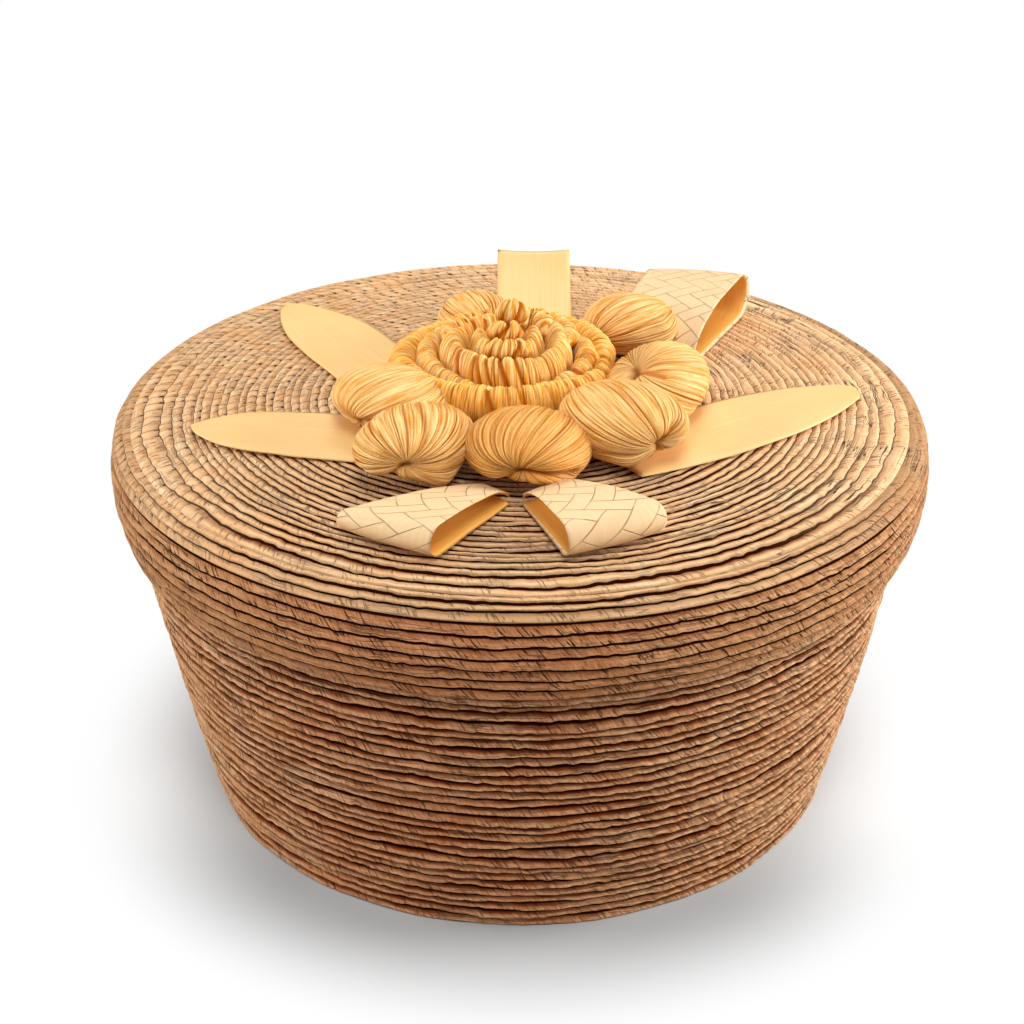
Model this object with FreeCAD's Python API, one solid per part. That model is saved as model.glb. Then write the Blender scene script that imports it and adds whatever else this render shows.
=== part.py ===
import FreeCAD, Part
import math
import os

# Tortilla warmer: a round basket of sewn palm braid with a lift-off lid and a palm flower on the lid.
# Millimetres, +Z up, origin at the centre of the base on the table, front of the flower towards -Y.

V = FreeCAD.Vector

# Braid
BRAID = 3.3                # thickness of the sewn braid
ROW_STEP = 1.0             # how far each row's lower or outer edge stands proud of the next row

# Basket
BASE_RADIUS = 99.3         # outer radius at the table
SHOULDER_RADIUS = 119.3    # outer radius of the top row of the wall
WALL_HEIGHT = 91.5         # table to shoulder
WALL_BOW = 1.0             # how far the wall bows out of the straight line, half way up
WALL_ROWS = 28
SEAM = 0.3                 # seam where a disc of braid is sewn to its ring of rows

# Neck: the rows inside the lid
NECK_INSET = 1.7           # neck's outer face inside the shoulder's outer edge
NECK_BRAID = 2.6
NECK_ROWS = 8
NECK_STEP = 0.5

# Lid
LID_CLEARANCE = 0.8        # neck to skirt mouth, radial
SEAT_GAP = 0.3             # lid over the shoulder and over the neck's rim
SKIRT_HEIGHT = 25.6        # mouth to the edge ring
SKIRT_BELLY = 3.3          # widest ring of the skirt outside its mouth
SKIRT_WIDEST = 18.2        # height of the widest ring over the mouth
SKIRT_ROWS = 7
EDGE_INSET = 0.6           # edge ring inside the widest ring
EDGE_RISE = 5.9            # height of the rounded edge
EDGE_WIDTH = 6.4           # width of the rounded edge
EDGE_ROWS = 3
DOME_RISE = 3.0            # crown over the inner end of the rounded edge
CROWN_ROW = 3.0            # width of a crown row

# Flower: things lying on the lid
LAY_GAP = 0.3              # lid to whatever lies on it, and between neighbouring flower pieces
LEAF = 0.9                 # thickness of a palm leaf or ribbon
ROSETTE_X = -4.0
ROSETTE_Y = -2.0
BACKING_RADIUS = 33.0
BACKING = 1.0

# Stitches through the crown
THREAD_RADIUS = 0.6
STITCH_LENGTH = 10.0
STITCH_HOLE = 0.3          # thread to hole, radial

# Heights and radii that follow from the driving dimensions
NECK_RADIUS = SHOULDER_RADIUS - NECK_INSET
MOUTH_RADIUS = NECK_RADIUS + LID_CLEARANCE + BRAID
MOUTH_Z = WALL_HEIGHT + SEAT_GAP
LID_RADIUS = MOUTH_RADIUS + SKIRT_BELLY
EDGE_RADIUS = LID_RADIUS - EDGE_INSET
EDGE_Z = MOUTH_Z + SKIRT_HEIGHT
CROWN_RADIUS = EDGE_RADIUS - EDGE_WIDTH
CROWN_EDGE_Z = EDGE_Z + EDGE_RISE
CROWN_Z = CROWN_EDGE_Z + DOME_RISE
DOME_SPHERE = (CROWN_RADIUS ** 2 + DOME_RISE ** 2) / (2 * DOME_RISE)
FLOWER_LIFT = LAY_GAP + LEAF + LAY_GAP


def dome_z(radius):
    """Height of the crown's row edges at this distance from the axis."""
    return CROWN_Z - DOME_SPHERE + math.sqrt(DOME_SPHERE ** 2 - radius ** 2)


def arc_points(start, middle, end, count):
    """Points at even steps along the arc through three points."""
    return Part.Arc(start, middle, end).toShape().discretize(Number=count + 1)


def inward(points, index):
    """Unit vector square to the profile at this point, towards the braid's inside."""
    before = points[max(index - 1, 0)]
    after = points[min(index + 1, len(points) - 1)]
    along = (after - before).normalize()
    return V(-along.z, 0, along.x)


def braid_rows(points, step):
    """Sewn rows along a profile: each row starts proud and ends one step in."""
    outline = []
    for index in range(len(points) - 1):
        outline.append(points[index])
        outline.append(points[index + 1] + inward(points, index + 1) * step)
    return outline


def revolve(outline):
    """A ring or disc from a closed outline in the XZ plane."""
    wire = Part.makePolygon(outline + [outline[0]])
    return Part.Face(wire).revolve(V(0, 0, 0), V(0, 0, 1), 360)


def inner_arc(start, middle, end, thickness):
    """The inside of a shell, one thickness closer to the axis, from its top down."""
    inset = V(-thickness, 0, 0)
    return arc_points(end + inset, middle + inset, start + inset, 12)


# Basket

WALL_FOOT = V(BASE_RADIUS, 0, 0)
WALL_TOP = V(SHOULDER_RADIUS, 0, WALL_HEIGHT)
WALL_MIDDLE = (WALL_FOOT + WALL_TOP) * 0.5 + V(WALL_BOW, 0, 0)


def bowl_wall():
    outside = braid_rows(arc_points(WALL_FOOT, WALL_MIDDLE, WALL_TOP, WALL_ROWS), ROW_STEP)
    outside[-1].z = WALL_HEIGHT
    return revolve(outside + inner_arc(WALL_FOOT, WALL_MIDDLE, WALL_TOP, BRAID))


def bowl_floor():
    return Part.makeCylinder(BASE_RADIUS - BRAID - SEAM, BRAID)


def crown_underside(radius):
    return dome_z(radius) - BRAID


def bowl_neck():
    """Rows that stand on the wall and end just under the crown."""
    rim_z = crown_underside(NECK_RADIUS) - SEAT_GAP
    foot = V(NECK_RADIUS, 0, WALL_HEIGHT)
    rim = V(NECK_RADIUS, 0, rim_z)
    points = [foot + (rim - foot) * (row / NECK_ROWS) for row in range(NECK_ROWS + 1)]
    outside = braid_rows(points, NECK_STEP)
    inside = NECK_RADIUS - NECK_BRAID
    return revolve(outside + [V(inside, 0, rim_z), V(inside, 0, WALL_HEIGHT)])


# Lid

SKIRT_MOUTH = V(MOUTH_RADIUS, 0, MOUTH_Z)
SKIRT_BULGE = V(LID_RADIUS, 0, MOUTH_Z + SKIRT_WIDEST)
SKIRT_EDGE = V(EDGE_RADIUS, 0, EDGE_Z)


def lid_skirt():
    """Skirt and rounded edge: rows from the mouth up, round the edge and in to the crown."""
    points = arc_points(SKIRT_MOUTH, SKIRT_BULGE, SKIRT_EDGE, SKIRT_ROWS)
    for row in range(1, EDGE_ROWS + 1):
        turn = math.pi / 2 * row / EDGE_ROWS
        radius = CROWN_RADIUS + EDGE_WIDTH * math.cos(turn)
        points.append(V(radius, 0, EDGE_Z + EDGE_RISE * math.sin(turn)))
    outside = braid_rows(points, ROW_STEP)
    outside[-1].x = CROWN_RADIUS
    under_crown = [V(CROWN_RADIUS, 0, crown_underside(CROWN_RADIUS))]
    return revolve(outside + under_crown + inner_arc(SKIRT_MOUTH, SKIRT_BULGE, SKIRT_EDGE, BRAID))


def crown_rows():
    """Row edges of the crown from its rim in to the centre."""
    rim = CROWN_RADIUS - SEAM
    rows = round(rim / CROWN_ROW)
    radii = [rim * (1 - row / rows) for row in range(rows + 1)]
    return [V(radius, 0, dome_z(radius)) for radius in radii]


def stitch_places():
    """Middle of each stitch, left and right of the flower's centre, under the rosette's inner ring."""
    return [V(ROSETTE_X + side * INNER_RADIUS, ROSETTE_Y, 0) for side in (-1, 1)]


def stitch_legs(place):
    half = STITCH_LENGTH / 2
    return [place + V(0, -half, 0), place + V(0, half, 0)]


def drill_stitches(shape):
    for place in stitch_places():
        for leg in stitch_legs(place):
            hole = Part.makeCylinder(THREAD_RADIUS + STITCH_HOLE, 2 * CROWN_Z, leg)
            shape = shape.cut(hole)
    return shape


def lid_crown():
    """Shallow dome of rows, each one's outer edge lying over the next."""
    points = crown_rows()
    outside = braid_rows(points, ROW_STEP)
    outside[-1].x = 0
    underside = [V(point.x, 0, crown_underside(point.x)) for point in reversed(points)]
    return drill_stitches(revolve(outside + underside))


# Pieces that lie on the lid

def lid_layer(lift, thickness):
    """A skin that follows the crown, this far over it."""
    low, high = V(0, 0, lift), V(0, 0, lift + thickness)
    dome = [V(radius, 0, dome_z(radius)) for radius in (0, CROWN_RADIUS / 2, CROWN_RADIUS)]
    lower = Part.Arc(*[point + low for point in dome]).toShape()
    upper = Part.Arc(*[point + high for point in reversed(dome)]).toShape()
    side = Part.makeLine(dome[2] + low, dome[2] + high)
    axis = Part.makeLine(dome[0] + high, dome[0] + low)
    return Part.Face(Part.Wire([lower, side, upper, axis])).revolve(V(0, 0, 0), V(0, 0, 1), 360)


def flower_core(radius):
    """A tall cylinder round the flower's centre."""
    return Part.makeCylinder(radius, 2 * CROWN_Z, V(ROSETTE_X, ROSETTE_Y, 0))


def flower_backing():
    return drill_stitches(flower_core(BACKING_RADIUS).common(lid_layer(LAY_GAP, BACKING)))


def flower_stitches():
    """Two thread staples: legs up through the crown, a bar under it."""
    staples = []
    for place in stitch_places():
        bar_z = crown_underside(math.hypot(place.x, place.y) + STITCH_LENGTH) - THREAD_RADIUS - LAY_GAP
        legs = stitch_legs(place)
        top = dome_z(0) + LAY_GAP + BACKING
        bar = Part.makeCylinder(THREAD_RADIUS, STITCH_LENGTH, V(legs[0].x, legs[0].y, bar_z), V(0, 1, 0))
        for leg in legs:
            knee = Part.makeSphere(THREAD_RADIUS, V(leg.x, leg.y, bar_z))
            rise = Part.makeCylinder(THREAD_RADIUS, top - bar_z, V(leg.x, leg.y, bar_z))
            bar = bar.fuse([knee, rise])
        staples.append(bar)
    return Part.makeCompound(staples)


# Leaves: flat blades given by the middle of the root, the tip and the width

LEAVES = {
    # name: root, tip, width, width of the blunt tip
    "leaf_front_left": (V(-44, -34, 0), V(-98, -22, 0), 29.0, 11.0),
    "leaf_back_left": (V(-41, 11, 0), V(-77, 75, 0), 29.0, 10.0),
    "leaf_right": (V(33, -45, 0), V(103.5, 5, 0), 31.0, 12.0),
}


def leaf(root, tip, width, blunt):
    """A flat leaf on the lid: straight root, curved sides, rounded tip."""
    length = (tip - root).Length
    shoulder = length * 0.78
    left, right = [], []
    for side, points in ((0.5, left), (-0.5, right)):
        points.append(V(0, side * width, 0))
        points.append(V(length * 0.35, side * width, 0))
        points.append(V(shoulder, side * (width * 0.62 + blunt * 0.3), 0))
        points.append(V(length - blunt / 3, side * blunt, 0))
    edges = []
    for points in (left, right):
        curve = Part.BSplineCurve()
        curve.interpolate(points)
        edges.append(curve.toShape())
    edges.append(Part.Arc(left[-1], V(length, 0, 0), right[-1]).toShape())
    edges.append(Part.makeLine(left[0], right[0]))
    blade = Part.Face(Part.Wire(Part.__sortEdges__(edges)))
    prism = blade.extrude(V(0, 0, 2 * CROWN_Z))
    heading = math.degrees(math.atan2(tip.y - root.y, tip.x - root.x))
    prism.rotate(V(0, 0, 0), V(0, 0, 1), heading)
    prism.translate(root)
    return prism.common(lid_layer(LAY_GAP, LEAF)).cut(flower_core(BACKING_RADIUS + LAY_GAP))


# Rear strip: a straight-cut palm strip that rises behind the flower

STRIP_MIDDLE_X = 4.8
STRIP_WIDTH = 24.6
STRIP_ROOT_Y = 37.0
STRIP_END_Y = 75.0
STRIP_RISE = 17.0          # end over the root
STRIP_SAG = 2.0            # middle under the straight line


def leaf_rear():
    root = V(0, STRIP_ROOT_Y, dome_z(STRIP_ROOT_Y) + LAY_GAP)
    end = V(0, STRIP_END_Y, root.z + STRIP_RISE)
    middle = (root + end) * 0.5 - V(0, 0, STRIP_SAG)
    up = V(0, 0, LEAF)
    low = Part.Arc(root, middle, end).toShape()
    high = Part.Arc(root + up, middle + up, end + up).toShape()
    sides = [Part.makeLine(end, end + up), Part.makeLine(root, root + up)]
    face = Part.Face(Part.Wire(Part.__sortEdges__([low, high] + sides)))
    face.translate(V(STRIP_MIDDLE_X - STRIP_WIDTH / 2, 0, 0))
    return face.extrude(V(STRIP_WIDTH, 0, 0))


# Bow loops: a plaited ribbon laid out, folded over and brought back to its root

LOOPS = {
    # name: root, left end of the fold, right end of the fold, root width, fold height, lift of the fold
    "loop_front_left": (V(-6, -70, 0), V(-24, -107, 0), V(-52, -88, 0), 9.0, 10.0, 0.0),
    "loop_front_right": (V(4, -71, 0), V(40, -92, 0), V(13, -107, 0), 9.0, 10.0, 0.0),
    "loop_back_right": (V(42, 27, 0), V(46, 80, 0), V(77, 70, 0), 28.0, 15.0, 1.0),
}
LOOP_REST = 0.5            # lid to the underside of a loop, so that its flat run clears the dome
LOOP_ROOT_OPENING = 0.3    # between the two runs at the root
LOOP_FULLNESS = 0.78       # height of the upper run at its middle, of the fold's height


def run_outline(length, height, root_height, inset):
    """One face of the ribbon: along the lid, round the fold and back."""
    bend = height / 2
    run = length - bend
    low, high = inset, height - inset
    return [Part.makeLine(V(0, 0, low), V(run, 0, low)),
            Part.Arc(V(run, 0, low), V(length - inset, 0, bend), V(run, 0, high)).toShape(),
            Part.Arc(V(run, 0, high), V(run * 0.5, 0, height * LOOP_FULLNESS - inset),
                     V(0, 0, root_height - inset)).toShape()]


def place_loop(face, root, fold_left, fold_right, root_width, height, lift):
    """Draw the side view out to a band, tilt it to the lid and trim it to its plan."""
    middle = (fold_left + fold_right) * 0.5
    length = (middle - root).Length
    face.translate(V(0, -length, 0))
    band = face.extrude(V(0, 2 * length, 0))
    foot = V(root.x, root.y, dome_z(root.Length) + LOOP_REST)
    far_z = dome_z(middle.Length) + LOOP_REST + lift
    heading = math.degrees(math.atan2(middle.y - root.y, middle.x - root.x))
    band.rotate(V(0, 0, 0), V(0, 1, 0), -math.degrees(math.atan2(far_z - foot.z, length)))
    band.rotate(V(0, 0, 0), V(0, 0, 1), heading)
    band.translate(foot)
    ahead = (middle - root).normalize()
    side = V(-ahead.y, ahead.x, 0) * (root_width / 2)
    past = ahead * height
    plan = [root + side, fold_left, fold_left + past, fold_right + past, fold_right, root - side]
    wedge = Part.Face(Part.makePolygon(plan + [plan[0]])).extrude(V(0, 0, 2 * CROWN_Z))
    return band.common(wedge)


def bow_loop(root, fold_left, fold_right, root_width, height, lift):
    """Teardrop band: flat run on the lid, round fold, upper run back to the root."""
    length = ((fold_left + fold_right) * 0.5 - root).Length
    top = 2 * LEAF + LOOP_ROOT_OPENING
    ends = [Part.makeLine(V(0, 0, 0), V(0, 0, LEAF)), Part.makeLine(V(0, 0, top - LEAF), V(0, 0, top))]
    faces = run_outline(length, height, top, 0) + run_outline(length, height, top, LEAF)
    side_view = Part.Face(Part.Wire(Part.__sortEdges__(faces + ends)))
    return place_loop(side_view, root, fold_left, fold_right, root_width, height, lift)


def loop_bed(root, fold_left, fold_right, root_width, height, lift):
    """The loop's whole space and a clearance over it, pressed into the petal on top."""
    length = ((fold_left + fold_right) * 0.5 - root).Length
    top = 2 * LEAF + LOOP_ROOT_OPENING
    end = Part.makeLine(V(0, 0, 0), V(0, 0, top))
    side_view = Part.Face(Part.Wire(Part.__sortEdges__(run_outline(length, height, top, 0) + [end])))
    side_view.translate(V(0, 0, LAY_GAP))
    return place_loop(side_view, root, fold_left, fold_right, root_width + 2 * LAY_GAP, height, lift)


# Petals: puffed, gathered palm. Each is a squashed ball on the lid, pressed against its neighbours

PETALS = {
    # name: middle, semi-axis away from the flower's centre, semi-axis across, half height
    "petal_front": (V(2, -57, 0), 20.0, 18.0, 8.8),
    "petal_front_left": (V(-30, -54, 0), 21.0, 16.0, 8.8),
    "petal_front_right": (V(29.5, -43, 0), 20.5, 17.5, 10.0),
    "petal_left": (V(-38, -26, 0), 16.0, 20.0, 8.8),
    "petal_right": (V(41, -15, 0), 15.0, 25.0, 9.0),
    "petal_back_right": (V(35, 31, 0), 15.0, 15.0, 9.0),
    "petal_back_left": (V(-14, 37, 0), 11.0, 12.0, 8.5),
}
PETAL_ON_LOOP = "petal_back_right"
PETAL_FOOT = 0.5           # how far a petal's underside is pressed flat


def puff(middle, outward, across, half_height, grow=0.0):
    """A squashed ball on the lid with its first axis pointing out of the flower."""
    heading = math.degrees(math.atan2(middle.y - ROSETTE_Y, middle.x - ROSETTE_X))
    stretch = FreeCAD.Matrix()
    stretch.scale(outward + grow, across + grow, half_height + grow)
    ball = Part.makeSphere(1).transformGeometry(stretch)
    ball.rotate(V(0, 0, 0), V(0, 0, 1), heading)
    rise = dome_z(middle.Length) + FLOWER_LIFT + half_height - PETAL_FOOT
    ball.translate(middle + V(0, 0, rise))
    return ball


# Rosette: gathered strips standing on the backing in rings, and a tuft in the middle

ROSETTE_FOOT = CROWN_Z + LAY_GAP + BACKING + LAY_GAP
OUTER_RADIUS = 36.5
OUTER_WIDTH = 15.4
MIDDLE_WIDTH = 8.4
INNER_WIDTH = 7.0
OUTER_HEIGHT = 15.1
MIDDLE_HEIGHT = 19.9
INNER_HEIGHT = 21.6
BUD_HEIGHT = 28.9
BUD_TIP = 7.8              # height of the bud's rounded tip


def ring(outer_radius, width, height, grow=0.0):
    """An upright gathered strip with a rounded top edge."""
    outside, inside = outer_radius + grow, outer_radius - width - grow
    foot, crest = ROSETTE_FOOT - grow, ROSETTE_FOOT + height + grow
    shoulder = crest - (outside - inside) / 2
    edges = [Part.makeLine(V(inside, 0, shoulder), V(inside, 0, foot)),
             Part.makeLine(V(inside, 0, foot), V(outside, 0, foot)),
             Part.makeLine(V(outside, 0, foot), V(outside, 0, shoulder)),
             Part.Arc(V(outside, 0, shoulder), V((outside + inside) / 2, 0, crest),
                      V(inside, 0, shoulder)).toShape()]
    band = Part.Face(Part.Wire(edges)).revolve(V(0, 0, 0), V(0, 0, 1), 360)
    band.translate(V(ROSETTE_X, ROSETTE_Y, 0))
    return band


MIDDLE_RADIUS = OUTER_RADIUS - OUTER_WIDTH - LAY_GAP
INNER_RADIUS = MIDDLE_RADIUS - MIDDLE_WIDTH - LAY_GAP
BUD_RADIUS = INNER_RADIUS - INNER_WIDTH - LAY_GAP


def rosette_bud():
    """A tuft that tapers to a round tip."""
    top = ROSETTE_FOOT + BUD_HEIGHT
    tip_foot = top - BUD_TIP
    tip_middle = V(BUD_RADIUS * 0.75, 0, tip_foot + BUD_TIP * 0.72)
    tip = arc_points(V(BUD_RADIUS, 0, tip_foot), tip_middle, V(0, 0, top), 8)
    bud = revolve([V(0, 0, ROSETTE_FOOT), V(BUD_RADIUS, 0, ROSETTE_FOOT)] + tip)
    bud.translate(V(ROSETTE_X, ROSETTE_Y, 0))
    return bud


def petals():
    """Petals from the front one back, each pressed in where an earlier neighbour lies."""
    taken = ring(OUTER_RADIUS, OUTER_WIDTH, OUTER_HEIGHT, LAY_GAP)
    shapes = {}
    for name, (middle, outward, across, half_height) in PETALS.items():
        ball = puff(middle, outward, across, half_height)
        shape = ball.common(lid_layer(FLOWER_LIFT, 4 * half_height)).cut(taken)
        if name == PETAL_ON_LOOP:
            shape = shape.cut(loop_bed(*LOOPS["loop_back_right"]))
        shapes[name] = max(shape.Solids, key=lambda solid: solid.Volume)
        taken = taken.fuse(puff(middle, outward, across, half_height, LAY_GAP))
    return shapes


nodes = {
    "bowl_floor": bowl_floor(),
    "bowl_wall": bowl_wall(),
    "bowl_neck": bowl_neck(),
    "lid_crown": lid_crown(),
    "lid_skirt": lid_skirt(),
    "flower_backing": flower_backing(),
    "flower_stitches": flower_stitches(),
    "leaf_rear": leaf_rear(),
    "rosette_outer": ring(OUTER_RADIUS, OUTER_WIDTH, OUTER_HEIGHT),
    "rosette_middle": ring(MIDDLE_RADIUS, MIDDLE_WIDTH, MIDDLE_HEIGHT),
    "rosette_inner": ring(INNER_RADIUS, INNER_WIDTH, INNER_HEIGHT),
    "rosette_bud": rosette_bud(),
}
for name, sizes in LEAVES.items():
    nodes[name] = leaf(*sizes)
for name, sizes in LOOPS.items():
    nodes[name] = bow_loop(*sizes)
nodes.update(petals())

os.makedirs("parts", exist_ok=True)
for name, shape in nodes.items():
    shape.exportStep(f"parts/{name}.step")
    print(name, "valid" if shape.isValid() else "INVALID", len(shape.Solids), round(shape.Volume, 1))
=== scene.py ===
import math

import bmesh
import bpy
import numpy as np
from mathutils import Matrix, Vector


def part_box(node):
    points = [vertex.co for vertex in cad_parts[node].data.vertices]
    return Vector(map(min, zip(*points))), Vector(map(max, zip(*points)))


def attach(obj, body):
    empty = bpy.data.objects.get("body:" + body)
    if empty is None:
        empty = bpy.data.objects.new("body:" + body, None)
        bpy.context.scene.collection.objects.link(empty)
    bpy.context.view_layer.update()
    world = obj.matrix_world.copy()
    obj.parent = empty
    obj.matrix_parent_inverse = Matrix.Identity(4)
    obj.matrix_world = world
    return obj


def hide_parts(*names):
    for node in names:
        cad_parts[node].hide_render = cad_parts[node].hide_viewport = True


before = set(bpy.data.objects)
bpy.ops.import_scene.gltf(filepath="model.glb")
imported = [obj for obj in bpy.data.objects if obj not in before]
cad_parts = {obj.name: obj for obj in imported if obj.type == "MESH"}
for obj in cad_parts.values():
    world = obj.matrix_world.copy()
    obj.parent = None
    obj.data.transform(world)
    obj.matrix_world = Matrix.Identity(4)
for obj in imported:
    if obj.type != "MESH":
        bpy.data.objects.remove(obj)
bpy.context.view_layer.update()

# ------------------------------------------------------------------------------
# Basket floor
# A flat disc of plaited palm braid, sewn in rows from the centre out until it is as wide as the foot
# of the wall. The basket stands on it. Lengths here and below are in millimetres.

MM = 0.001
BRAID = 3.3     # thickness of the braid
SEAM = 0.3      # gap that the sewing leaves between two lengths of braid


def reach(node):
    """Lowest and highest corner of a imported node."""
    low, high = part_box(node)
    return np.array(low) / MM, np.array(high) / MM


def drift(rng, knots, turns):
    """A smooth uneven line from -1 to 1 that closes on itself after one turn."""
    values = rng.uniform(-1, 1, knots)
    place = turns * knots
    left = np.floor(place).astype(int)
    share = place - left
    share = share * share * (3 - 2 * share)
    return values[left % knots] * (1 - share) + values[(left + 1) % knots] * share


def bands_of(edges):
    """Each band's two edges, from the line of all edges."""
    return np.stack([edges[:-1], edges[1:]], axis=1)


def skin(name, points, along, across, ring=True, loop=True, sheets=1, marks=()):
    """A mesh over a grid of points. Columns run along the braid and close if ring, rows go round the
    section and close if loop. In the strand map, along is the columns' coordinate, for all bands or for
    each, and across is each band's two edges. The bake map lays the columns out on sheets."""
    rows, columns = points.shape[:2]
    bands = rows if loop else rows - 1
    steps = columns if ring else columns - 1
    band, step = np.meshgrid(np.arange(bands), np.arange(steps), indexing="ij")
    near = band * columns
    far = (band + 1) % rows * columns
    beside = (step + 1) % columns
    corners = np.stack([near + step, near + beside, far + beside, far + step], axis=-1)

    mesh = bpy.data.meshes.new(name)
    mesh.vertices.add(rows * columns)
    mesh.vertices.foreach_set("co", (points * MM).ravel())
    mesh.loops.add(corners.size)
    mesh.loops.foreach_set("vertex_index", corners.ravel())
    mesh.polygons.add(bands * steps)
    mesh.polygons.foreach_set("loop_start", np.arange(0, corners.size, 4))
    mesh.update(calc_edges=True)

    def lay_out(map_name, left, right, low, high):
        flat = np.stack([left, low, right, low, right, high, left, high], axis=-1)
        mesh.uv_layers.new(name=map_name).uv.foreach_set("vector", flat.ravel())

    along = np.broadcast_to(along, (bands, steps + 1))
    low, high = (np.broadcast_to(across[:, side, None], band.shape) for side in (0, 1))
    lay_out("strand", along[:, :-1], along[:, 1:], low, high)
    per_sheet = -(-steps // sheets)
    margin = 0.01
    inner = 1 - 2 * margin
    left = margin + (step % per_sheet) / per_sheet * inner
    low = (step // per_sheet + margin + band / bands * inner) / sheets
    lay_out("OFBake", left, left + inner / per_sheet, low, low + inner / bands / sheets)

    for mark, values in dict(marks).items():
        layer = mesh.attributes.new(mark, "FLOAT", "POINT")
        layer.data.foreach_set("value", values.astype(np.float32).ravel())

    shell = bmesh.new()
    shell.from_mesh(mesh)
    bmesh.ops.remove_doubles(shell, verts=shell.verts, dist=1e-6)
    bmesh.ops.recalc_face_normals(shell, faces=shell.faces)
    shell.to_mesh(mesh)
    shell.free()
    mesh.polygons.foreach_set("use_smooth", np.ones(len(mesh.polygons), bool))
    piece = bpy.data.objects.new(name, mesh)
    bpy.context.scene.collection.objects.link(piece)
    return piece


def points_at(place, line):
    """The points of a line of (radius, height) at these places, counted in rows."""
    count = np.arange(len(line))
    return np.stack([np.interp(place, count, line[:, axis]) for axis in (0, 1)], axis=-1)


def sewn_rows(edges, profile, step, rng, turns, wander=0.12, uneven=0.25, strand_length=4.5,
              worn=None):
    """Rows of braid round the axis. edges are the rows' edges as (radius, height), profile is the shape
    across a row and step how far a row stands proud of its tuck. wander moves the rows' edges, uneven
    changes how far they stand out, and worn says, round the axis, how much of the step is left. Returns
    the grid of (radius, height), each band's strand coordinate along it and its row coordinates."""
    rows = len(edges) - 1
    depth = step if worn is None else step * worn(turns)
    tangent = np.gradient(edges, axis=0)
    tangent /= np.linalg.norm(tangent, axis=1, keepdims=True)
    normal = np.stack([tangent[:, 1], -tangent[:, 0]], axis=1)
    strands = np.maximum(6, np.round(2 * math.pi * edges[:, 0] / strand_length)).astype(int)

    def lip(row):
        if row in (0, rows):
            return np.zeros_like(turns)
        slow, middle = drift(rng, 13, turns), drift(rng, strands[row] // 3 + 3, turns)
        quick = drift(rng, strands[row] * 2, turns)
        return wander * (0.5 * slow + 0.6 * middle + 0.35 * quick)

    grid, along, across = [], [], []
    near = lip(0)
    for row in range(rows):
        far = lip(row + 1)
        swell = uneven * (0.8 * drift(rng, 37, turns) + 0.2 * drift(rng, strands[row] * 2, turns))
        strand = turns * strands[row] + rng.uniform(0, 1)
        last = strand[:1] + strands[row]
        for share, proud in profile:
            place = np.clip(row + share + (1 - share) * near + share * far, 0, rows)
            sunk = depth * (1 - proud * (1 + swell))
            grid.append(points_at(place, edges) - points_at(place, normal) * sunk[:, None])
            along.append(np.concatenate([strand, last]))
            across.append(row + share)
        near = far
    sunk = np.broadcast_to(depth, turns.shape) * (1 - profile[-1][1])
    grid.append(edges[-1] - sunk[:, None] * normal[-1])
    along.append(along[-1])
    across += [rows - 0.001] * 2         # still inside the last row
    return np.array(grid), np.array(along), bands_of(np.array(across))


def braid_ring(name, faces, columns, sheets):
    """A closed ring or disc of braid. faces are the sewn faces round its section, each as row edges,
    shape across a row, step, random seed and the rest of what sewn_rows takes."""
    turns = np.arange(columns) / columns
    parts = [sewn_rows(edges, profile, step, np.random.default_rng(seed), turns, **look)
             for edges, profile, step, seed, look in faces]
    grid, along, across = (np.concatenate(part) for part in zip(*parts))
    angle = turns * 2 * math.pi
    radius, height = grid[..., 0], grid[..., 1]
    points = np.stack([radius * np.cos(angle), radius * np.sin(angle), height], axis=-1)
    return skin(name, points, along, across, sheets=sheets)


class Value:
    """What one socket of a shader tree gives. Reckoning with it makes Math nodes."""

    def __init__(self, socket):
        self.socket = socket

    def calc(self, operation, *others, clamp=False):
        """A Math node's result, with this value as its first."""
        return take(self.socket.id_data, "Math", enumerate((self, *others)),
                    operation=operation, use_clamp=clamp)

    def ease(self, low, high):
        """0 at low and 1 at high, with soft ends."""
        ends = {"Value": self, "From Min": low, "From Max": high}
        return take(self.socket.id_data, "MapRange", ends, interpolation_type="SMOOTHSTEP")

    def __add__(self, other):
        return self.calc("ADD", other)

    def __sub__(self, other):
        return self.calc("SUBTRACT", other)

    def __rsub__(self, other):
        return self.calc("MULTIPLY_ADD", -1.0, other)

    def __mul__(self, other):
        return self.calc("MULTIPLY", other)

    def __truediv__(self, other):
        return self.calc("DIVIDE", other)

    def __abs__(self):
        return self.calc("ABSOLUTE")


def feed(socket, value):
    """Sets a socket's value, or links it to what gives the value."""
    value = value.socket if isinstance(value, Value) else value
    if isinstance(value, bpy.types.NodeSocket):
        socket.id_data.links.new(value, socket)
    else:
        socket.default_value = value


def add(tree, kind, inputs=(), **settings):
    """A shader node. settings are its properties, inputs its values or what feeds them."""
    made = tree.nodes.new("ShaderNode" + kind)
    for name, value in settings.items():
        setattr(made, name, value)
    for name, value in dict(inputs).items():
        feed(made.inputs[name], value)
    return made


def take(tree, kind, inputs=(), output=0, **settings):
    """What a new shader node gives at one of its outputs."""
    return Value(add(tree, kind, inputs, **settings).outputs[output])


def either(mask, *others):
    """The strongest of some masks."""
    for other in others:
        mask = mask.calc("MAXIMUM", other)
    return mask


def tint(tree, share, first, second, mode="MIX"):
    """One colour blended with another."""
    return take(tree, "Mix", {0: share, 6: first, 7: second}, 2, data_type="RGBA", blend_type=mode)


def vector(tree, x, y, z=0.0):
    """A place or a colour from its three values."""
    return take(tree, "CombineXYZ", {"X": x, "Y": y, "Z": z})


def parts_of(tree, place):
    """The three values of a place."""
    return [Value(part) for part in add(tree, "SeparateXYZ", {"Vector": place}).outputs]


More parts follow.
